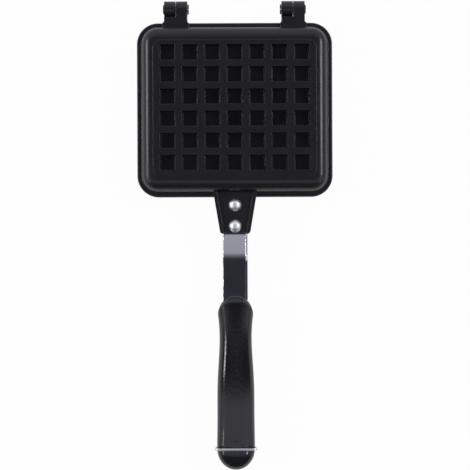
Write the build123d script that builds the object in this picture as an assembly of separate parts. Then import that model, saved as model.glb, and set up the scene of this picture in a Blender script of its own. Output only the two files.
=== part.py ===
from build123d import *
from math import cos, radians, sin
import os

# Stovetop waffle pan: two like cast halves, hinged at the back, each with a riveted steel strap
# and a moulded grip, and a wire latch that holds the two grips together.
#
# Millimetres. X runs to the right, Y towards the hinge, Z up. The pan lies closed on its lower
# plate: the origin is the centre of that plate's resting face. Each half is drawn once with
# Z = 0 on the parting plane and its outer face up. The upper half is lifted to the parting
# plane, and the lower half is the same pieces turned over about the Y axis.

# Plates
plate_width = 156.0
plate_length = 139.0
plate_corner = 17.0
half_height = 16.0
rim_gap = 0.4
flange_height = 4.5
flange_ledge = 4.0
flange_edge_round = 1.2
ledge_cove = 1.0
shoulder_radius = 9.0
pad_width = 128.2
pad_length = 107.8
pad_corner = 6.0
pad_rise = 0.5
pad_draft = 15.0

# Batter cavity
rim_width = 9.0
cavity_depth = 10.0
cavity_draft = 14.0
cavity_floor_round = 2.0

# Waffle grid, the same for the pegs inside and the pockets outside
grid_columns = 7
grid_rows = 6
column_pitch = 17.72
row_pitch = 17.45
grid_shift = 0.95
pocket_mouth = 12.2
pocket_floor = 11.0
pocket_depth = 4.5
peg_base = 12.4
peg_top = 10.6
peg_height = 7.5

# Hinges
hinge_inset = 31.1
hinge_reach = 11.5
hinge_width = 18.4
knuckle_radius = 6.6
knuckle_side_gap = 0.5
knuckle_turn_gap = 0.4
lug_root_round = 1.2
pin_radius = 2.0
pin_running_clearance = 0.06
pin_head_radius = 3.6
pin_head_height = 0.8
pin_head_gap = 0.2
pin_lip_reach = 3.8
pin_lip_width = 2.2
pin_lip_height = 1.0
pin_split = 0.5

# Handle tab on each casting
tab_length = 29.5
tab_root_width = 33.5
tab_end_width = 23.6
tab_end_round = 3.0
tab_rib_width = 3.0
tab_web_height = 3.6
tab_rib_rise = 1.8
tab_web_setback = 1.2
tab_end_relief = 0.6

# Rivets
first_rivet_reach = 6.6
rivet_spacing = 16.8
rivet_shank_radius = 2.3
rivet_head_radius = 5.1
rivet_head_height = 3.2
rivet_tail_radius = 3.7
rivet_tail_height = 1.3

# Steel straps
strap_width = 18.2
strap_thickness = 2.0
strap_side_offset = 0.8
strap_plate_gap = 1.5
strap_seat_height = 3.8
strap_bend_gap = 0.3
strap_rise_run = 18.6
strap_first_bend = 5.0
strap_second_bend = 28.0
strap_end_round = 3.0
tang_width = 13.0
tang_shoulder_reach = 12.0
tang_length = 110.0

# Grips
grip_gap = 78.3
grip_length = 139.4
grip_parting_gap = 0.8
grip_side_height = 3.0
front_half_width = 14.1
front_arc_length = 16.2
front_flare = 1.4
front_crown = 12.8
front_edge_round = 7.5
front_edge_lift = 0.3
front_clearance = 1.0
waist_half_width = 13.0
waist_crown = 12.8
waist_reach = 40.0
hip_half_width = 14.4
hip_crown = 13.1
hip_reach = 64.0
belly_half_width = 14.9
belly_crown = 13.4
belly_reach = 94.0
end_half_width = 15.1
end_arc_length = 16.4
end_crown = 12.4
end_steps = 5
end_last_turn = 80.0
grip_wall = 3.5
grip_pocket_height = 4.0
grip_pocket_round = 2.5
tang_seat_height = 8.0
tang_side_clearance = 0.25
tang_end_clearance = 1.5

# Grip screws and their moulded-in inserts
first_screw_reach = 48.0
screw_spacing = 46.0
screw_radius = 2.0
screw_hole_clearance = 0.3
screw_head_radius = 3.8
screw_head_height = 2.2
screw_tip_gap = 0.6
screw_slot_length = 4.4
screw_slot_width = 0.9
screw_slot_depth = 1.3
insert_radius = 3.2
insert_length = 3.2

# Wire latch
wire_radius = 0.9
latch_reach_from_end = 17.9
latch_pivot_setback = 2.2
latch_pivot_depth = 7.5
latch_side_clearance = 0.35
latch_seat_gap = 0.6
latch_corner = 3.0
latch_foot_corner = 1.8
latch_foot_length = 5.0
latch_hole_clearance = 0.08
latch_hole_end_gap = 0.4
saddle_radius = 45.0
saddle_depth = 1.0
saddle_lead = 1.4

# Places that follow from the sizes above
back_edge = plate_length / 2
front_edge = -plate_length / 2
hinge_y = back_edge + hinge_reach
hinge_side = plate_width / 2 - hinge_inset
hinge_centres = [-hinge_side, hinge_side]
tab_end = front_edge - tab_length
strap_start = front_edge - strap_plate_gap
strap_underside = strap_seat_height - strap_thickness
tab_web_top = strap_seat_height + tab_web_height
rivet_places = [
    front_edge - first_rivet_reach,
    front_edge - first_rivet_reach - rivet_spacing,
]
grip_front = front_edge - grip_gap
grip_end = grip_front - grip_length
grip_bottom = grip_parting_gap / 2
front_arc_start = grip_front - front_arc_length
end_arc_start = grip_end + end_arc_length
tang_shoulder = grip_front - tang_shoulder_reach
tang_end = grip_front - tang_length
tang_underside = tang_seat_height - strap_thickness
screw_places = [
    grip_front - first_screw_reach,
    grip_front - first_screw_reach - screw_spacing,
]
latch_y = grip_end + latch_reach_from_end
latch_pivot_y = latch_y - latch_pivot_setback
saddle_height = belly_crown - saddle_depth
latch_height = saddle_height + latch_seat_gap + wire_radius
latch_half_width = end_half_width + latch_side_clearance + wire_radius


def slab(width, length, corner, bottom, top):
    """A plate with rounded corners between two heights."""
    outline = Plane.XY.offset(bottom) * RectangleRounded(width, length, corner)
    return extrude(outline, top - bottom)


def block(x_range, y_range, z_range):
    """A box between two values along each axis."""
    size = [high - low for low, high in (x_range, y_range, z_range)]
    centre = [(high + low) / 2 for low, high in (x_range, y_range, z_range)]
    return Pos(*centre) * Box(*size)


def post(x, y, radius, bottom, top):
    """An upright cylinder between two heights."""
    return Pos(x, y, (bottom + top) / 2) * Cylinder(radius, top - bottom)


def cross_rod(radius, left, right, y, z):
    """A cylinder along X between two places."""
    return Pos((left + right) / 2, y, z) * Rot(0, 90, 0) * Cylinder(radius, right - left)


def frustum(low_side, high_side, low, high):
    """A square block whose side changes between two heights."""
    low_face = Plane.XY.offset(low) * Rectangle(low_side, low_side)
    high_face = Plane.XY.offset(high) * Rectangle(high_side, high_side)
    return loft([low_face, high_face], ruled=True)


def on_grid(piece):
    """One copy of a piece at each square of the waffle grid."""
    places = GridLocations(column_pitch, row_pitch, grid_columns, grid_rows)
    return [Pos(0, grid_shift, 0) * place * piece for place in places]


def casting_shell():
    """The plate's flange, rounded shoulder and raised pad, before anything is cut from it."""
    bottom = rim_gap / 2
    flange = slab(plate_width, plate_length, plate_corner, bottom, flange_height)
    flange = fillet(flange.edges().group_by(Axis.Z)[-1], flange_edge_round)
    dome = slab(
        plate_width - 2 * flange_ledge,
        plate_length - 2 * flange_ledge,
        plate_corner - flange_ledge,
        bottom,
        half_height - pad_rise,
    )
    dome = fillet(dome.edges().group_by(Axis.Z)[-1], shoulder_radius)
    shell = flange + dome
    shell = fillet(new_edges(flange, dome, combined=shell), ledge_cove)
    pad_outline = Plane.XY.offset(half_height - pad_rise)
    pad_outline *= RectangleRounded(
        pad_width + 2 * pad_rise, pad_length + 2 * pad_rise, pad_corner + pad_rise
    )
    return shell + extrude(pad_outline, pad_rise, taper=pad_draft)


def batter_cavity():
    """The space inside the rim, widest at the parting plane."""
    bottom = rim_gap / 2
    mouth = Plane.XY.offset(bottom) * RectangleRounded(
        plate_width - 2 * rim_width, plate_length - 2 * rim_width, plate_corner - rim_width
    )
    cavity = extrude(mouth, cavity_depth - bottom, taper=cavity_draft)
    return fillet(cavity.edges().group_by(Axis.Z)[-1], cavity_floor_round)


def hinge_lug(centre):
    """A lug across one hinge, with this casting's knuckle on its right half."""
    half = hinge_width / 2
    bottom = rim_gap / 2
    root_end = hinge_y - knuckle_radius - knuckle_turn_gap
    root_start = back_edge - flange_ledge - ledge_cove
    foot_half = half + lug_root_round
    foot_end = back_edge + lug_root_round
    foot_sides = (centre - foot_half, centre + foot_half)
    lug = block(foot_sides, (root_start, foot_end), (bottom, knuckle_radius))
    for x in foot_sides:
        lug -= post(x, foot_end, lug_root_round, bottom, knuckle_radius)
    inner_side = centre + knuckle_side_gap / 2
    outer_side = centre + half
    lug += block((centre - half, outer_side), (back_edge, root_end), (bottom, knuckle_radius))
    lug += block((inner_side, outer_side), (back_edge, hinge_y), (bottom, knuckle_radius))
    return lug + cross_rod(knuckle_radius, inner_side, outer_side, hinge_y, 0)


def handle_tab():
    """The tapered tab that the strap is riveted under, with a raised rib along each side."""
    root = front_edge + flange_ledge + ledge_cove
    slope = (tab_root_width - tab_end_width) / 2 / tab_length
    root_half = tab_root_width / 2 + slope * (root - front_edge)
    end_half = tab_end_width / 2
    corners = [(-root_half, root), (-end_half, tab_end), (end_half, tab_end), (root_half, root)]
    outline = make_face(Polyline(*corners, close=True))
    outline = fillet(outline.vertices().group_by(Axis.Y)[0], tab_end_round)
    top = tab_web_top + tab_rib_rise
    tab = extrude(Plane.XY.offset(strap_seat_height) * outline, top - strap_seat_height)
    wide = root_half - tab_rib_width
    narrow = end_half - tab_rib_width
    inside = [(-wide, root), (-narrow, tab_end), (narrow, tab_end), (wide, root)]
    recess = Plane.XY.offset(tab_web_top) * make_face(Polyline(*inside, close=True))
    tab -= extrude(recess, tab_rib_rise)
    web_end = tab_end + tab_web_setback
    tab -= block((-narrow, narrow), (tab_end, web_end), (strap_seat_height, top))
    relief_top = strap_seat_height + tab_end_relief
    return tab - block((-end_half, end_half), (tab_end, web_end), (strap_seat_height, relief_top))


def plate():
    """One casting before its hinge bores: shell, pegs, pockets, hinge lugs and handle tab."""
    casting = casting_shell() - batter_cavity()
    casting += on_grid(frustum(peg_top, peg_base, cavity_depth - peg_height, cavity_depth))
    casting -= on_grid(frustum(pocket_floor, pocket_mouth, half_height - pocket_depth, half_height))
    casting += handle_tab()
    for y in rivet_places:
        casting -= post(0, y, rivet_shank_radius, strap_seat_height, tab_web_top)
    for centre in hinge_centres:
        casting += hinge_lug(centre)
    return casting


def strap():
    """The steel strap: flat under the tab, rising, then flat again as the tang in the grip."""
    middle = strap_seat_height - strap_thickness / 2
    tang_middle = tang_seat_height - strap_thickness / 2
    rise_start = tab_end - strap_bend_gap
    path = FilletPolyline(
        (0, strap_start, middle),
        (0, rise_start, middle),
        (0, rise_start - strap_rise_run, tang_middle),
        (0, tang_end, tang_middle),
        radius=[strap_first_bend, strap_second_bend],
    )
    section = Plane((0, strap_start, middle), x_dir=(1, 0, 0), z_dir=(0, -1, 0))
    bar = sweep(section * Rectangle(strap_width, strap_thickness), path)
    for side in (-1, 1):
        sides = sorted((side * tang_width / 2, side * strap_width))
        bar -= block(sides, (tang_end, tang_shoulder), (0, tang_seat_height))
    corners = bar.edges().filter_by(Axis.Z)
    bar = fillet(corners.group_by(Axis.Y)[0] + corners.group_by(Axis.Y)[-1], strap_end_round)
    bar = Pos(-strap_side_offset, 0, 0) * bar
    for y in rivet_places:
        bar -= post(0, y, rivet_shank_radius, 0, strap_seat_height)
    for y in screw_places:
        bar -= post(0, y, screw_radius + screw_hole_clearance, 0, tang_seat_height)
    return bar


def rivet(y):
    """A rivet with a domed head outside the tab and a flat tail under the strap."""
    sphere = (rivet_head_radius**2 + rivet_head_height**2) / (2 * rivet_head_height)
    head_top = tab_web_top + rivet_head_height
    head = Pos(0, y, head_top - sphere) * Sphere(sphere)
    head &= post(0, y, rivet_head_radius, tab_web_top, head_top)
    shank = post(0, y, rivet_shank_radius, strap_underside, tab_web_top)
    tail_bottom = strap_underside - rivet_tail_height
    tail = post(0, y, rivet_tail_radius, tail_bottom, strap_underside)
    return head + shank + tail


def grip_section(y, half_width, crown):
    """A D-shaped section of the grip: upright sides under half an ellipse."""
    plane = Plane((0, y, 0), x_dir=(1, 0, 0), z_dir=(0, -1, 0))
    arch_height = crown - grip_side_height
    arch = EllipticalCenterArc((0, grip_side_height), half_width, arch_height, 0, arc_size=180)
    sides = Polyline(
        (-half_width, grip_side_height),
        (-half_width, grip_bottom),
        (half_width, grip_bottom),
        (half_width, grip_side_height),
    )
    return plane * make_face([arch, sides])


def grip_end_stations():
    """Stations round the end, where the width and the crown both close in like an ellipse."""
    stations = []
    reach = end_arc_length / sin(radians(end_last_turn))
    for step in range(1, end_steps + 1):
        turn = radians(end_last_turn * step / end_steps)
        y = end_arc_start - reach * sin(turn)
        crown = grip_side_height + (end_crown - grip_side_height) * cos(turn)
        stations.append((y, end_half_width * cos(turn), crown))
    return stations


def grip_front_trim():
    """What is cut off the front: it is half an ellipse from above, with its top edge rounded."""
    wide = 2 * front_half_width
    trim = block((-wide, wide), (front_arc_start, grip_front + front_clearance), (0, wide))
    nose = Pos(0, front_arc_start, 0) * Ellipse(front_half_width, front_arc_length)
    nose = extrude(nose, front_crown + front_edge_lift)
    return trim - fillet(nose.edges().group_by(Axis.Z)[-1], front_edge_round)


def grip_pocket():
    """The shallow pocket moulded inside the grip's wall, on the side of the other grip."""
    stations = [
        (front_arc_start - grip_wall, front_half_width),
        (grip_front - waist_reach, waist_half_width),
        (grip_front - hip_reach, hip_half_width),
        (grip_front - belly_reach, belly_half_width),
        (end_arc_start + grip_wall, end_half_width),
    ]
    right = [(width - grip_wall, y) for y, width in stations]
    left = [(-x, y) for x, y in reversed(right)]
    down = (0, -1)
    up = (0, 1)
    outline = make_face(
        [
            Spline(*right, tangents=[down, down]),
            Line(right[-1], left[0]),
            Spline(*left, tangents=[up, up]),
            Line(left[-1], right[0]),
        ]
    )
    outline = fillet(outline.vertices(), grip_pocket_round)
    return extrude(outline, grip_pocket_height)


def grip():
    """The moulded grip: a crowned body, open towards the other grip, with a seat for the tang."""
    stations = [
        (grip_front, front_half_width + front_flare, front_crown),
        (front_arc_start, front_half_width, front_crown),
        (grip_front - waist_reach, waist_half_width, waist_crown),
        (grip_front - hip_reach, hip_half_width, hip_crown),
        (grip_front - belly_reach, belly_half_width, belly_crown),
        (end_arc_start, end_half_width, end_crown),
    ]
    stations += grip_end_stations()
    body = loft([grip_section(*station) for station in stations])
    body -= grip_front_trim()
    saddle_y = latch_y + saddle_lead
    wide = 2 * end_half_width
    body -= cross_rod(saddle_radius, -wide, wide, saddle_y, saddle_height + saddle_radius)
    body -= grip_pocket()
    left = -strap_side_offset - strap_width / 2 - tang_side_clearance
    right = -strap_side_offset + strap_width / 2 + tang_side_clearance
    shoulder = tang_shoulder - tang_end_clearance
    body -= block((left, right), (shoulder, grip_front + front_clearance), (0, tang_seat_height))
    left = -strap_side_offset - tang_width / 2 - tang_side_clearance
    right = -strap_side_offset + tang_width / 2 + tang_side_clearance
    channel_end = tang_end - tang_end_clearance
    body -= block((left, right), (channel_end, shoulder), (0, tang_seat_height))
    for y in screw_places:
        body -= post(0, y, insert_radius, tang_seat_height, tang_seat_height + insert_length)
    return body


def insert(y):
    """A threaded insert moulded into the grip, flush with the seat of the tang."""
    top = tang_seat_height + insert_length
    tip = top - screw_tip_gap
    sleeve = post(0, y, insert_radius, tang_seat_height, top)
    return sleeve - post(0, y, screw_radius, tang_seat_height, tip)


def screw(y):
    """A cross-slotted pan head screw that holds the tang on its seat."""
    tip = tang_seat_height + insert_length - screw_tip_gap
    head = post(0, y, screw_head_radius, tang_underside - screw_head_height, tang_underside)
    lower_rim = head.edges().group_by(Axis.Z)[0]
    head = fillet(lower_rim, screw_head_height / 2)
    slot = Box(screw_slot_length, screw_slot_width, 2 * screw_slot_depth)
    slot += Box(screw_slot_width, screw_slot_length, 2 * screw_slot_depth)
    head -= Pos(0, y, tang_underside - screw_head_height) * slot
    return head + post(0, y, screw_radius, tang_underside, tip)


def hinge_pin(centre):
    """A hinge pin across both knuckles: a round head outside, and an end split and spread inside."""
    outward = 1 if centre > 0 else -1
    half = hinge_width / 2 + pin_head_gap
    head_face = centre + outward * half
    head_end = head_face + outward * pin_head_height
    lip_face = centre - outward * half
    lip_end = lip_face - outward * pin_lip_height
    pin = cross_rod(pin_radius, *sorted((head_face, lip_end)), hinge_y, 0)
    pin += cross_rod(pin_head_radius, *sorted((head_face, head_end)), hinge_y, 0)
    lip_x = sorted((lip_face, lip_end))
    lip_y = (hinge_y - pin_lip_reach, hinge_y + pin_lip_reach)
    split = block(lip_x, (hinge_y - pin_split, hinge_y + pin_split), (-pin_radius, pin_radius))
    return pin + block(lip_x, lip_y, (-pin_lip_width / 2, pin_lip_width / 2)) - split


def pin_bores(radius):
    """The bores through both hinge lugs of one casting."""
    half = hinge_width / 2
    bores = [cross_rod(radius, centre - half, centre + half, hinge_y, 0) for centre in hinge_centres]
    return bores[0] + bores[1]


def latch_holes():
    """The two blind holes that the feet of the latch turn in, seen in the upper position."""
    radius = wire_radius + latch_hole_clearance
    inner = latch_half_width - latch_foot_length - latch_hole_end_gap
    outer = latch_half_width
    left = cross_rod(radius, -outer, -inner, latch_pivot_y, latch_pivot_depth)
    right = cross_rod(radius, inner, outer, latch_pivot_y, latch_pivot_depth)
    return left + right


def latch():
    """The wire latch: feet in the lower grip, legs up both sides, a bar over the upper grip."""
    foot = latch_half_width - latch_foot_length
    path = FilletPolyline(
        (foot, latch_pivot_y, -latch_pivot_depth),
        (latch_half_width, latch_pivot_y, -latch_pivot_depth),
        (latch_half_width, latch_y, latch_height),
        (-latch_half_width, latch_y, latch_height),
        (-latch_half_width, latch_pivot_y, -latch_pivot_depth),
        (-foot, latch_pivot_y, -latch_pivot_depth),
        radius=[latch_foot_corner, latch_corner, latch_corner, latch_foot_corner],
    )
    start = Plane((foot, latch_pivot_y, -latch_pivot_depth), z_dir=(1, 0, 0))
    return sweep(start * Circle(wire_radius), path)


lift = Pos(0, 0, half_height)
turn_over = lift * Rot(0, 180, 0)

casting = plate()
bar = strap()
moulding = grip()

nodes = {
    "lower_plate": turn_over * (casting - pin_bores(pin_radius)),
    "upper_plate": lift * (casting - pin_bores(pin_radius + pin_running_clearance)),
    "lower_strap": turn_over * bar,
    "upper_strap": lift * bar,
    "lower_grip": turn_over * (moulding - latch_holes()),
    "upper_grip": lift * moulding,
    "latch_wire": lift * latch(),
}
for side, centre in zip(("left", "right"), hinge_centres):
    nodes[f"hinge_pin_{side}"] = lift * hinge_pin(centre)
for half, place in (("lower", turn_over), ("upper", lift)):
    for end, y in zip(("front", "rear"), rivet_places):
        nodes[f"{half}_{end}_rivet"] = place * rivet(y)
    for end, y in zip(("front", "rear"), screw_places):
        nodes[f"{half}_{end}_screw"] = place * screw(y)
        nodes[f"{half}_{end}_insert"] = place * insert(y)

os.makedirs("parts", exist_ok=True)
for name, solid in nodes.items():
    export_step(solid, f"parts/{name}.step")
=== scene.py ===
from math import radians

import bpy
import numpy as np
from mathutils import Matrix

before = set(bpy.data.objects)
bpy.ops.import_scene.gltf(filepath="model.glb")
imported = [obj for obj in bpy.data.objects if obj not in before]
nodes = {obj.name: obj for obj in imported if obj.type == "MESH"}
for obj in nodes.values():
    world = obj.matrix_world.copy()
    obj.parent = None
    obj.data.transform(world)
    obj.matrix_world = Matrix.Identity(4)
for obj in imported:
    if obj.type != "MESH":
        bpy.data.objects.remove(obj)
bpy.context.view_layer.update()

# The two castings. Aluminium plates, sand blasted and sprayed with a satin black non-stick
# coat, which rounds every edge a little and dries with a fine grain. The pockets are painted
# much darker, as painted shade for the recesses. The coat is baked on before the pan is put
# together.


def new_finish(name, colour, metallic, roughness, specular=0.5):
    """A Principled finish with its plain values on the shader's own sockets."""
    finish = bpy.data.materials.new(name)
    finish.use_nodes = True
    shader = finish.node_tree.nodes["Principled BSDF"]
    shader.inputs["Base Color"].default_value = (*colour, 1)
    shader.inputs["Metallic"].default_value = metallic
    shader.inputs["Roughness"].default_value = roughness
    shader.inputs["Specular IOR Level"].default_value = specular
    return finish, finish.node_tree, shader


def add_node(tree, kind, **inputs):
    """A shader node of that kind, with its inputs set by name."""
    node = tree.nodes.new(kind)
    for key, value in inputs.items():
        node.inputs[key.replace("_", " ")].default_value = value
    return node


def noise(tree, scale, detail=3, stretch=(1, 1, 1)):
    """A cloudy pattern of that many cells per metre over the object, stretched along an axis."""
    place = tree.nodes.new("ShaderNodeTexCoord").outputs["Object"]
    turn = add_node(tree, "ShaderNodeMapping", Scale=stretch)
    pattern = add_node(tree, "ShaderNodeTexNoise", Scale=scale, Detail=detail, Roughness=0.6)
    tree.links.new(place, turn.inputs["Vector"])
    tree.links.new(turn.outputs["Vector"], pattern.inputs["Vector"])
    return pattern.outputs["Fac"]


def spread(tree, source, low, high, target):
    """Takes the middle of a pattern, spreads it between two values and sends it to a socket."""
    reach = add_node(
        tree, "ShaderNodeMapRange", From_Min=0.3, From_Max=0.7, To_Min=low, To_Max=high
    )
    tree.links.new(source, reach.inputs["Value"])
    tree.links.new(reach.outputs["Result"], target)


def raise_grain(tree, shader, edge_radius, *layers):
    """Rounds the edges in the shading, then lays each (pattern, metres, strength) bump on top."""
    normal = None
    if edge_radius:
        edges = add_node(tree, "ShaderNodeBevel", Radius=edge_radius)
        edges.samples = 8
        normal = edges.outputs["Normal"]
    for height, distance, strength in layers:
        bump = add_node(tree, "ShaderNodeBump", Strength=strength, Distance=distance)
        tree.links.new(height, bump.inputs["Height"])
        if normal:
            tree.links.new(normal, bump.inputs["Normal"])
        normal = bump.outputs["Normal"]
    tree.links.new(normal, shader.inputs["Normal"])


def dress(node, finish):
    """Puts a finish on a CAD node in place of the plain one that it came with."""
    nodes[node].data.materials.clear()
    nodes[node].data.materials.append(finish)


def reckon(tree, operation, first, second=0.0):
    """One step of arithmetic between a socket and a number or another socket."""
    step = tree.nodes.new("ShaderNodeMath")
    step.operation = operation
    tree.links.new(first, step.inputs[0])
    if isinstance(second, float):
        step.inputs[1].default_value = second
    else:
        tree.links.new(second, step.inputs[1])
    return step.outputs[0]


def band(tree, source, middle, inner, outer):
    """1 where a coordinate is within inner of a middle, fading to 0 at outer."""
    fade = add_node(
        tree, "ShaderNodeMapRange", From_Min=inner, From_Max=outer, To_Min=1, To_Max=0
    )
    away = reckon(tree, "ABSOLUTE", reckon(tree, "SUBTRACT", source, middle))
    tree.links.new(away, fade.inputs["Value"])
    return fade.outputs["Result"]


coat_colour = (0.0106, 0.0106, 0.0129)
# Painted shade: the much darker colour laid into the pockets, standing in for the shade deep in
# the recesses.
pocket_shade_colour = (0.0014, 0.0014, 0.0019)
coat_grain_cells = 1300
coat_cloud_cells = 45
coat_dull_range = (0.25, 0.32)
coat_relief = (0.00006, 0.35)
coat_edge = 0.0006
low_pocket_middle = 0.0045
high_pocket_middle = 0.0275
pocket_reach = (0.0038, 0.0042)
pockets_half_width = (0.0605, 0.0625)
pockets_middle_y = 0.00095
pockets_half_length = (0.0510, 0.0530)
coat, tree, shader = new_finish(
    "satin_black_coat", coat_colour, metallic=0, roughness=0.28, specular=0.37
)
grain = noise(tree, coat_grain_cells)
clouds = noise(tree, coat_cloud_cells)
spread(tree, clouds, *coat_dull_range, shader.inputs["Roughness"])
# Painted shade: a mask over the pockets of both plates mixes the coat's colour towards the dark
# pocket colour.
spot = tree.nodes.new("ShaderNodeSeparateXYZ")
tree.links.new(tree.nodes.new("ShaderNodeTexCoord").outputs["Object"], spot.inputs[0])
low_side = band(tree, spot.outputs["Z"], low_pocket_middle, *pocket_reach)
high_side = band(tree, spot.outputs["Z"], high_pocket_middle, *pocket_reach)
either_side = reckon(tree, "MAXIMUM", low_side, high_side)
across = band(tree, spot.outputs["X"], 0.0, *pockets_half_width)
along = band(tree, spot.outputs["Y"], pockets_middle_y, *pockets_half_length)
shade_in_pockets = reckon(tree, "MULTIPLY", reckon(tree, "MULTIPLY", either_side, across), along)
coat_and_pocket_shade = add_node(tree, "ShaderNodeMix")
coat_and_pocket_shade.data_type = "RGBA"
coat_and_pocket_shade.inputs[6].default_value = (*coat_colour, 1)
coat_and_pocket_shade.inputs[7].default_value = (*pocket_shade_colour, 1)
tree.links.new(shade_in_pockets, coat_and_pocket_shade.inputs[0])
tree.links.new(coat_and_pocket_shade.outputs[2], shader.inputs["Base Color"])
raise_grain(tree, shader, coat_edge, (grain, *coat_relief))
for node in ("lower_plate", "upper_plate"):
    dress(node, coat)

# The two hinge pins. Steel rod with a round head outside, pushed through both knuckles and
# split and spread inside. The oven that bakes the coat has darkened them.


def worked_metal(name, colour, dull, dull_range, edge, cells, relief, stretch=(1, 1, 1)):
    """A bare metal whose one pattern makes both its duller spots and its fine relief."""
    finish, tree, shader = new_finish(name, colour, metallic=1, roughness=dull)
    pattern = noise(tree, cells, stretch=stretch)
    spread(tree, pattern, *dull_range, shader.inputs["Roughness"])
    raise_grain(tree, shader, edge, (pattern, *relief))
    return finish


pin_finish = worked_metal(
    "dark_pin_steel", colour=(0.09, 0.09, 0.095), dull=0.42, dull_range=(0.34, 0.5),
    edge=0.0003, cells=500, relief=(0.00004, 0.4),
)
for node in ("hinge_pin_left", "hinge_pin_right"):
    dress(node, pin_finish)

# The two straps. Stainless strip, stamped and bent, tumbled until its edges are round, then
# polished lengthwise, which leaves faint lines along it.

strap_colour = (0.6, 0.6, 0.61)
strap_line_cells = 30
strap_line_stretch = (80, 1, 80)
strap_wipe_cells = 60
strap_dull_range = (0.07, 0.1)
strap_relief = (0.00001, 0.05)
strap_edge = 0.0009
strap_finish, tree, shader = new_finish(
    "polished_strap", strap_colour, metallic=1, roughness=0.1
)
lines = noise(tree, strap_line_cells, detail=4, stretch=strap_line_stretch)
wipes = noise(tree, strap_wipe_cells)
spread(tree, wipes, *strap_dull_range, shader.inputs["Roughness"])
raise_grain(tree, shader, strap_edge, (lines, *strap_relief))
for node in ("lower_strap", "upper_strap"):
    dress(node, strap_finish)

# The four rivets. Soft aluminium with domed heads, closed cold in a press, so each dome is a
# little uneven and dulled in its middle by the tool.

rivet_finish = worked_metal(
    "rivet_aluminium", colour=(0.85, 0.85, 0.85), dull=0.4, dull_range=(0.34, 0.46),
    edge=0.0003, cells=420, relief=(0.0001, 0.2),
)
for half in ("lower", "upper"):
    for end in ("front", "rear"):
        dress(f"{half}_{end}_rivet", rivet_finish)

# The two grips. Black thermoset, pressed in a polished mould, hollow on the side of the other
# grip. The skin is glossy and very slightly wavy where the wall behind it has shrunk.

grip_colour = (0.0086, 0.009, 0.0102)
grip_wave_cells = 55
grip_skin_cells = 900
grip_dull_range = (0.07, 0.12)
grip_waves = (0.0006, 0.012)
grip_relief = (0.00001, 0.08)
grip_finish, tree, shader = new_finish(
    "polished_grip", grip_colour, metallic=0, roughness=0.09, specular=0.45
)
waves = noise(tree, grip_wave_cells, detail=2)
skin = noise(tree, grip_skin_cells, detail=2)
spread(tree, skin, *grip_dull_range, shader.inputs["Roughness"])
raise_grain(tree, shader, None, (waves, *grip_waves), (skin, *grip_relief))
for node in ("lower_grip", "upper_grip"):
    dress(node, grip_finish)

# The screws and the inserts that hold the straps in the grips. The screws are zinc plated
# steel, the inserts turned brass with a fine lathe line round them.

screw_finish = worked_metal(
    "zinc_screw", colour=(0.55, 0.55, 0.56), dull=0.3, dull_range=(0.24, 0.4),
    edge=0.00015, cells=900, relief=(0.00003, 0.25),
)
insert_finish = worked_metal(
    "brass_insert", colour=(0.75, 0.56, 0.27), dull=0.3, dull_range=(0.24, 0.38),
    edge=0.00015, cells=40, relief=(0.00003, 0.3), stretch=(1, 1, 90),
)
for half in ("lower", "upper"):
    for end in ("front", "rear"):
        dress(f"{half}_{end}_screw", screw_finish)
        dress(f"{half}_{end}_insert", insert_finish)

# The latch. Spring wire, bent to shape and nickel plated, bright with faint drawing lines. Its
# ends are sprung into two holes of the lower grip, where it turns.

wire_finish = worked_metal(
    "plated_wire", colour=(0.68, 0.68, 0.7), dull=0.12, dull_range=(0.09, 0.17),
    edge=0.0002, cells=700, relief=(0.00002, 0.2),
)
dress("latch_wire", wire_finish)

# The studio. A sheet of white paper turned up at its far edges, a white room that is dark
# straight overhead, where the camera hangs, and strip lamps along both sides.

floor_half = 12.0
wall_height = 0.7
paper_white = (0.86, 0.86, 0.86, 1)
floor_glow = 0.97
floor_mesh = bpy.data.meshes.new("floor")
corners = [
    (x * floor_half, y * floor_half, z)
    for z in (0, wall_height) for x, y in ((-1, -1), (1, -1), (1, 1), (-1, 1))
]
walls = [(k, k + 4, (k + 1) % 4 + 4, (k + 1) % 4) for k in range(4)]
floor_mesh.from_pydata(corners, [], [(0, 1, 2, 3), *walls])
floor = bpy.data.objects.new("floor", floor_mesh)
bpy.context.scene.collection.objects.link(floor)
paper = bpy.data.materials.new("white_paper")
paper.use_nodes = True
tree = paper.node_tree
tree.nodes.clear()
matt = add_node(tree, "ShaderNodeBsdfDiffuse", Color=paper_white)
glow = add_node(tree, "ShaderNodeEmission", Color=(1, 1, 1, 1), Strength=1.0)
join = tree.nodes.new("ShaderNodeMixShader")
seen = tree.nodes.new("ShaderNodeLightPath")
amount = seen.outputs["Is Camera Ray"]
for ray in ("Is Glossy Ray", "Is Transmission Ray"):
    amount = reckon(tree, "MAXIMUM", amount, seen.outputs[ray])
tree.links.new(reckon(tree, "MULTIPLY", amount, floor_glow), join.inputs[0])
tree.links.new(matt.outputs[0], join.inputs[1])
tree.links.new(glow.outputs[0], join.inputs[2])
out = tree.nodes.new("ShaderNodeOutputMaterial")
tree.links.new(join.outputs[0], out.inputs["Surface"])
floor_mesh.materials.append(paper)

scene = bpy.context.scene
room = bpy.data.worlds.new("white_room")
scene.world = room
room.use_nodes = True
tree = room.node_tree
tree.nodes.clear()
direction = tree.nodes.new("ShaderNodeTexCoord").outputs["Generated"]
split = tree.nodes.new("ShaderNodeSeparateXYZ")
tree.links.new(direction, split.inputs[0])
forward = add_node(tree, "ShaderNodeMapRange", From_Min=-1, From_Max=1)
tree.links.new(split.outputs["Y"], forward.inputs["Value"])


def room_ramp(source, stops):
    """A grey with a touch of blue, read off (place, grey) stops over a 0 to 1 value."""
    ramp = tree.nodes.new("ShaderNodeValToRGB")
    ramp.color_ramp.interpolation = "LINEAR"
    while len(ramp.color_ramp.elements) < len(stops):
        ramp.color_ramp.elements.new(0.5)
    for element, (place, grey) in zip(ramp.color_ramp.elements, stops):
        element.position = place
        element.color = (grey, grey, grey * 1.08 + 0.006, 1)
    tree.links.new(source, ramp.inputs[0])
    return ramp.outputs[0]


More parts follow.
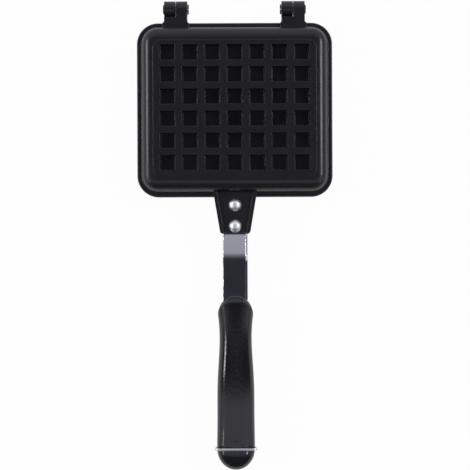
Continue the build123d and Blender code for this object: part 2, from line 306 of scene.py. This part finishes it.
def blend(kind, first, second):
    """Two tones put together the way that kind of mix does."""
    both = tree.nodes.new("ShaderNodeMix")
    both.data_type = "RGBA"
    both.blend_type = kind
    both.inputs[0].default_value = 1
    tree.links.new(first, both.inputs[6])
    tree.links.new(second, both.inputs[7])
    return both.outputs[2]


# The ceiling's greys run from the grip's end of the room, at 0, to the hinge's end, at 1.
# Those of its edge and of the horizon run from the floor, at 0, to straight overhead.
ceiling_stops = [
    (0.0, 0.1), (0.24, 0.12), (0.29, 0.5), (0.35, 0.8), (0.38, 0.95), (0.434, 0.93),
    (0.443, 0.5), (0.451, 0.26), (0.459, 0.09), (0.467, 0.028),
    (0.5, 0.03), (0.58, 0.05), (0.65, 0.2), (0.74, 0.62), (0.9, 0.9),
]
ceiling_edge_stops = [(0.02, 0.0), (0.2, 1.0)]
horizon_stops = [(0.04, 1.0), (0.15, 0.3), (0.26, 0.16), (0.45, 0.2), (0.6, 0.0)]
nearer = add_node(tree, "ShaderNodeMapRange", From_Min=0.3, From_Max=0.6, To_Min=0.2, To_Max=1)
tree.links.new(forward.outputs[0], nearer.inputs["Value"])
ceiling = blend(
    "MULTIPLY",
    room_ramp(forward.outputs[0], ceiling_stops),
    room_ramp(split.outputs["Z"], ceiling_edge_stops),
)
horizon = blend("MULTIPLY", room_ramp(split.outputs["Z"], horizon_stops), nearer.outputs[0])
air = tree.nodes.new("ShaderNodeBackground")
tree.links.new(blend("LIGHTEN", ceiling, horizon), air.inputs["Color"])
out = tree.nodes.new("ShaderNodeOutputWorld")
tree.links.new(air.outputs[0], out.inputs["Surface"])

lamp_distance = 1.3
lamp_colour = (0.97, 0.98, 1.0)


def strip_lamp(name, side, tilt, width, y_range, radiance):
    """A strip lamp along Y on one side, aimed at the pan from tilt degrees off the vertical."""
    length = y_range[1] - y_range[0]
    lamp = bpy.data.lights.new(name, "AREA")
    lamp.shape = "RECTANGLE"
    lamp.size = width
    lamp.size_y = length
    lamp.energy = radiance * np.pi * width * length
    lamp.color = lamp_colour
    holder = bpy.data.objects.new(name, lamp)
    scene.collection.objects.link(holder)
    angle = radians(tilt)
    middle = sum(y_range) / 2
    holder.location = (
        side * lamp_distance * np.sin(angle), middle, lamp_distance * np.cos(angle)
    )
    holder.rotation_euler = (0, side * angle, 0)
    holder.visible_camera = False


strip_lamp("left_lamp", side=-1, tilt=61, width=0.22, y_range=(0.0, 0.5), radiance=15.5)
strip_lamp("right_lamp", side=1, tilt=50, width=0.16, y_range=(0.0, 0.5), radiance=24)
strip_lamp("left_grip_lamp", side=-1, tilt=61, width=0.22, y_range=(-0.3, -0.12), radiance=13)
strip_lamp("left_end_lamp", side=-1, tilt=61, width=0.16, y_range=(-0.8, -0.52), radiance=4)
strip_lamp("right_end_lamp", side=1, tilt=50, width=0.12, y_range=(-0.8, -0.65), radiance=12)

# The camera hangs straight over the pan, 0.9 m up, and is turned by a quarter of a degree.
view_angle = 23.66
camera_place = (-0.0002, -0.09985, 0.916)
camera_turn = -0.23
camera = bpy.data.cameras.new("camera")
camera.sensor_fit = "HORIZONTAL"
camera.angle = radians(view_angle)
camera.clip_start = 0.01
eye = bpy.data.objects.new("camera", camera)
scene.collection.objects.link(eye)
eye.location = camera_place
eye.rotation_euler = (0, 0, radians(camera_turn))
scene.camera = eye
scene.view_settings.view_transform = "Standard"
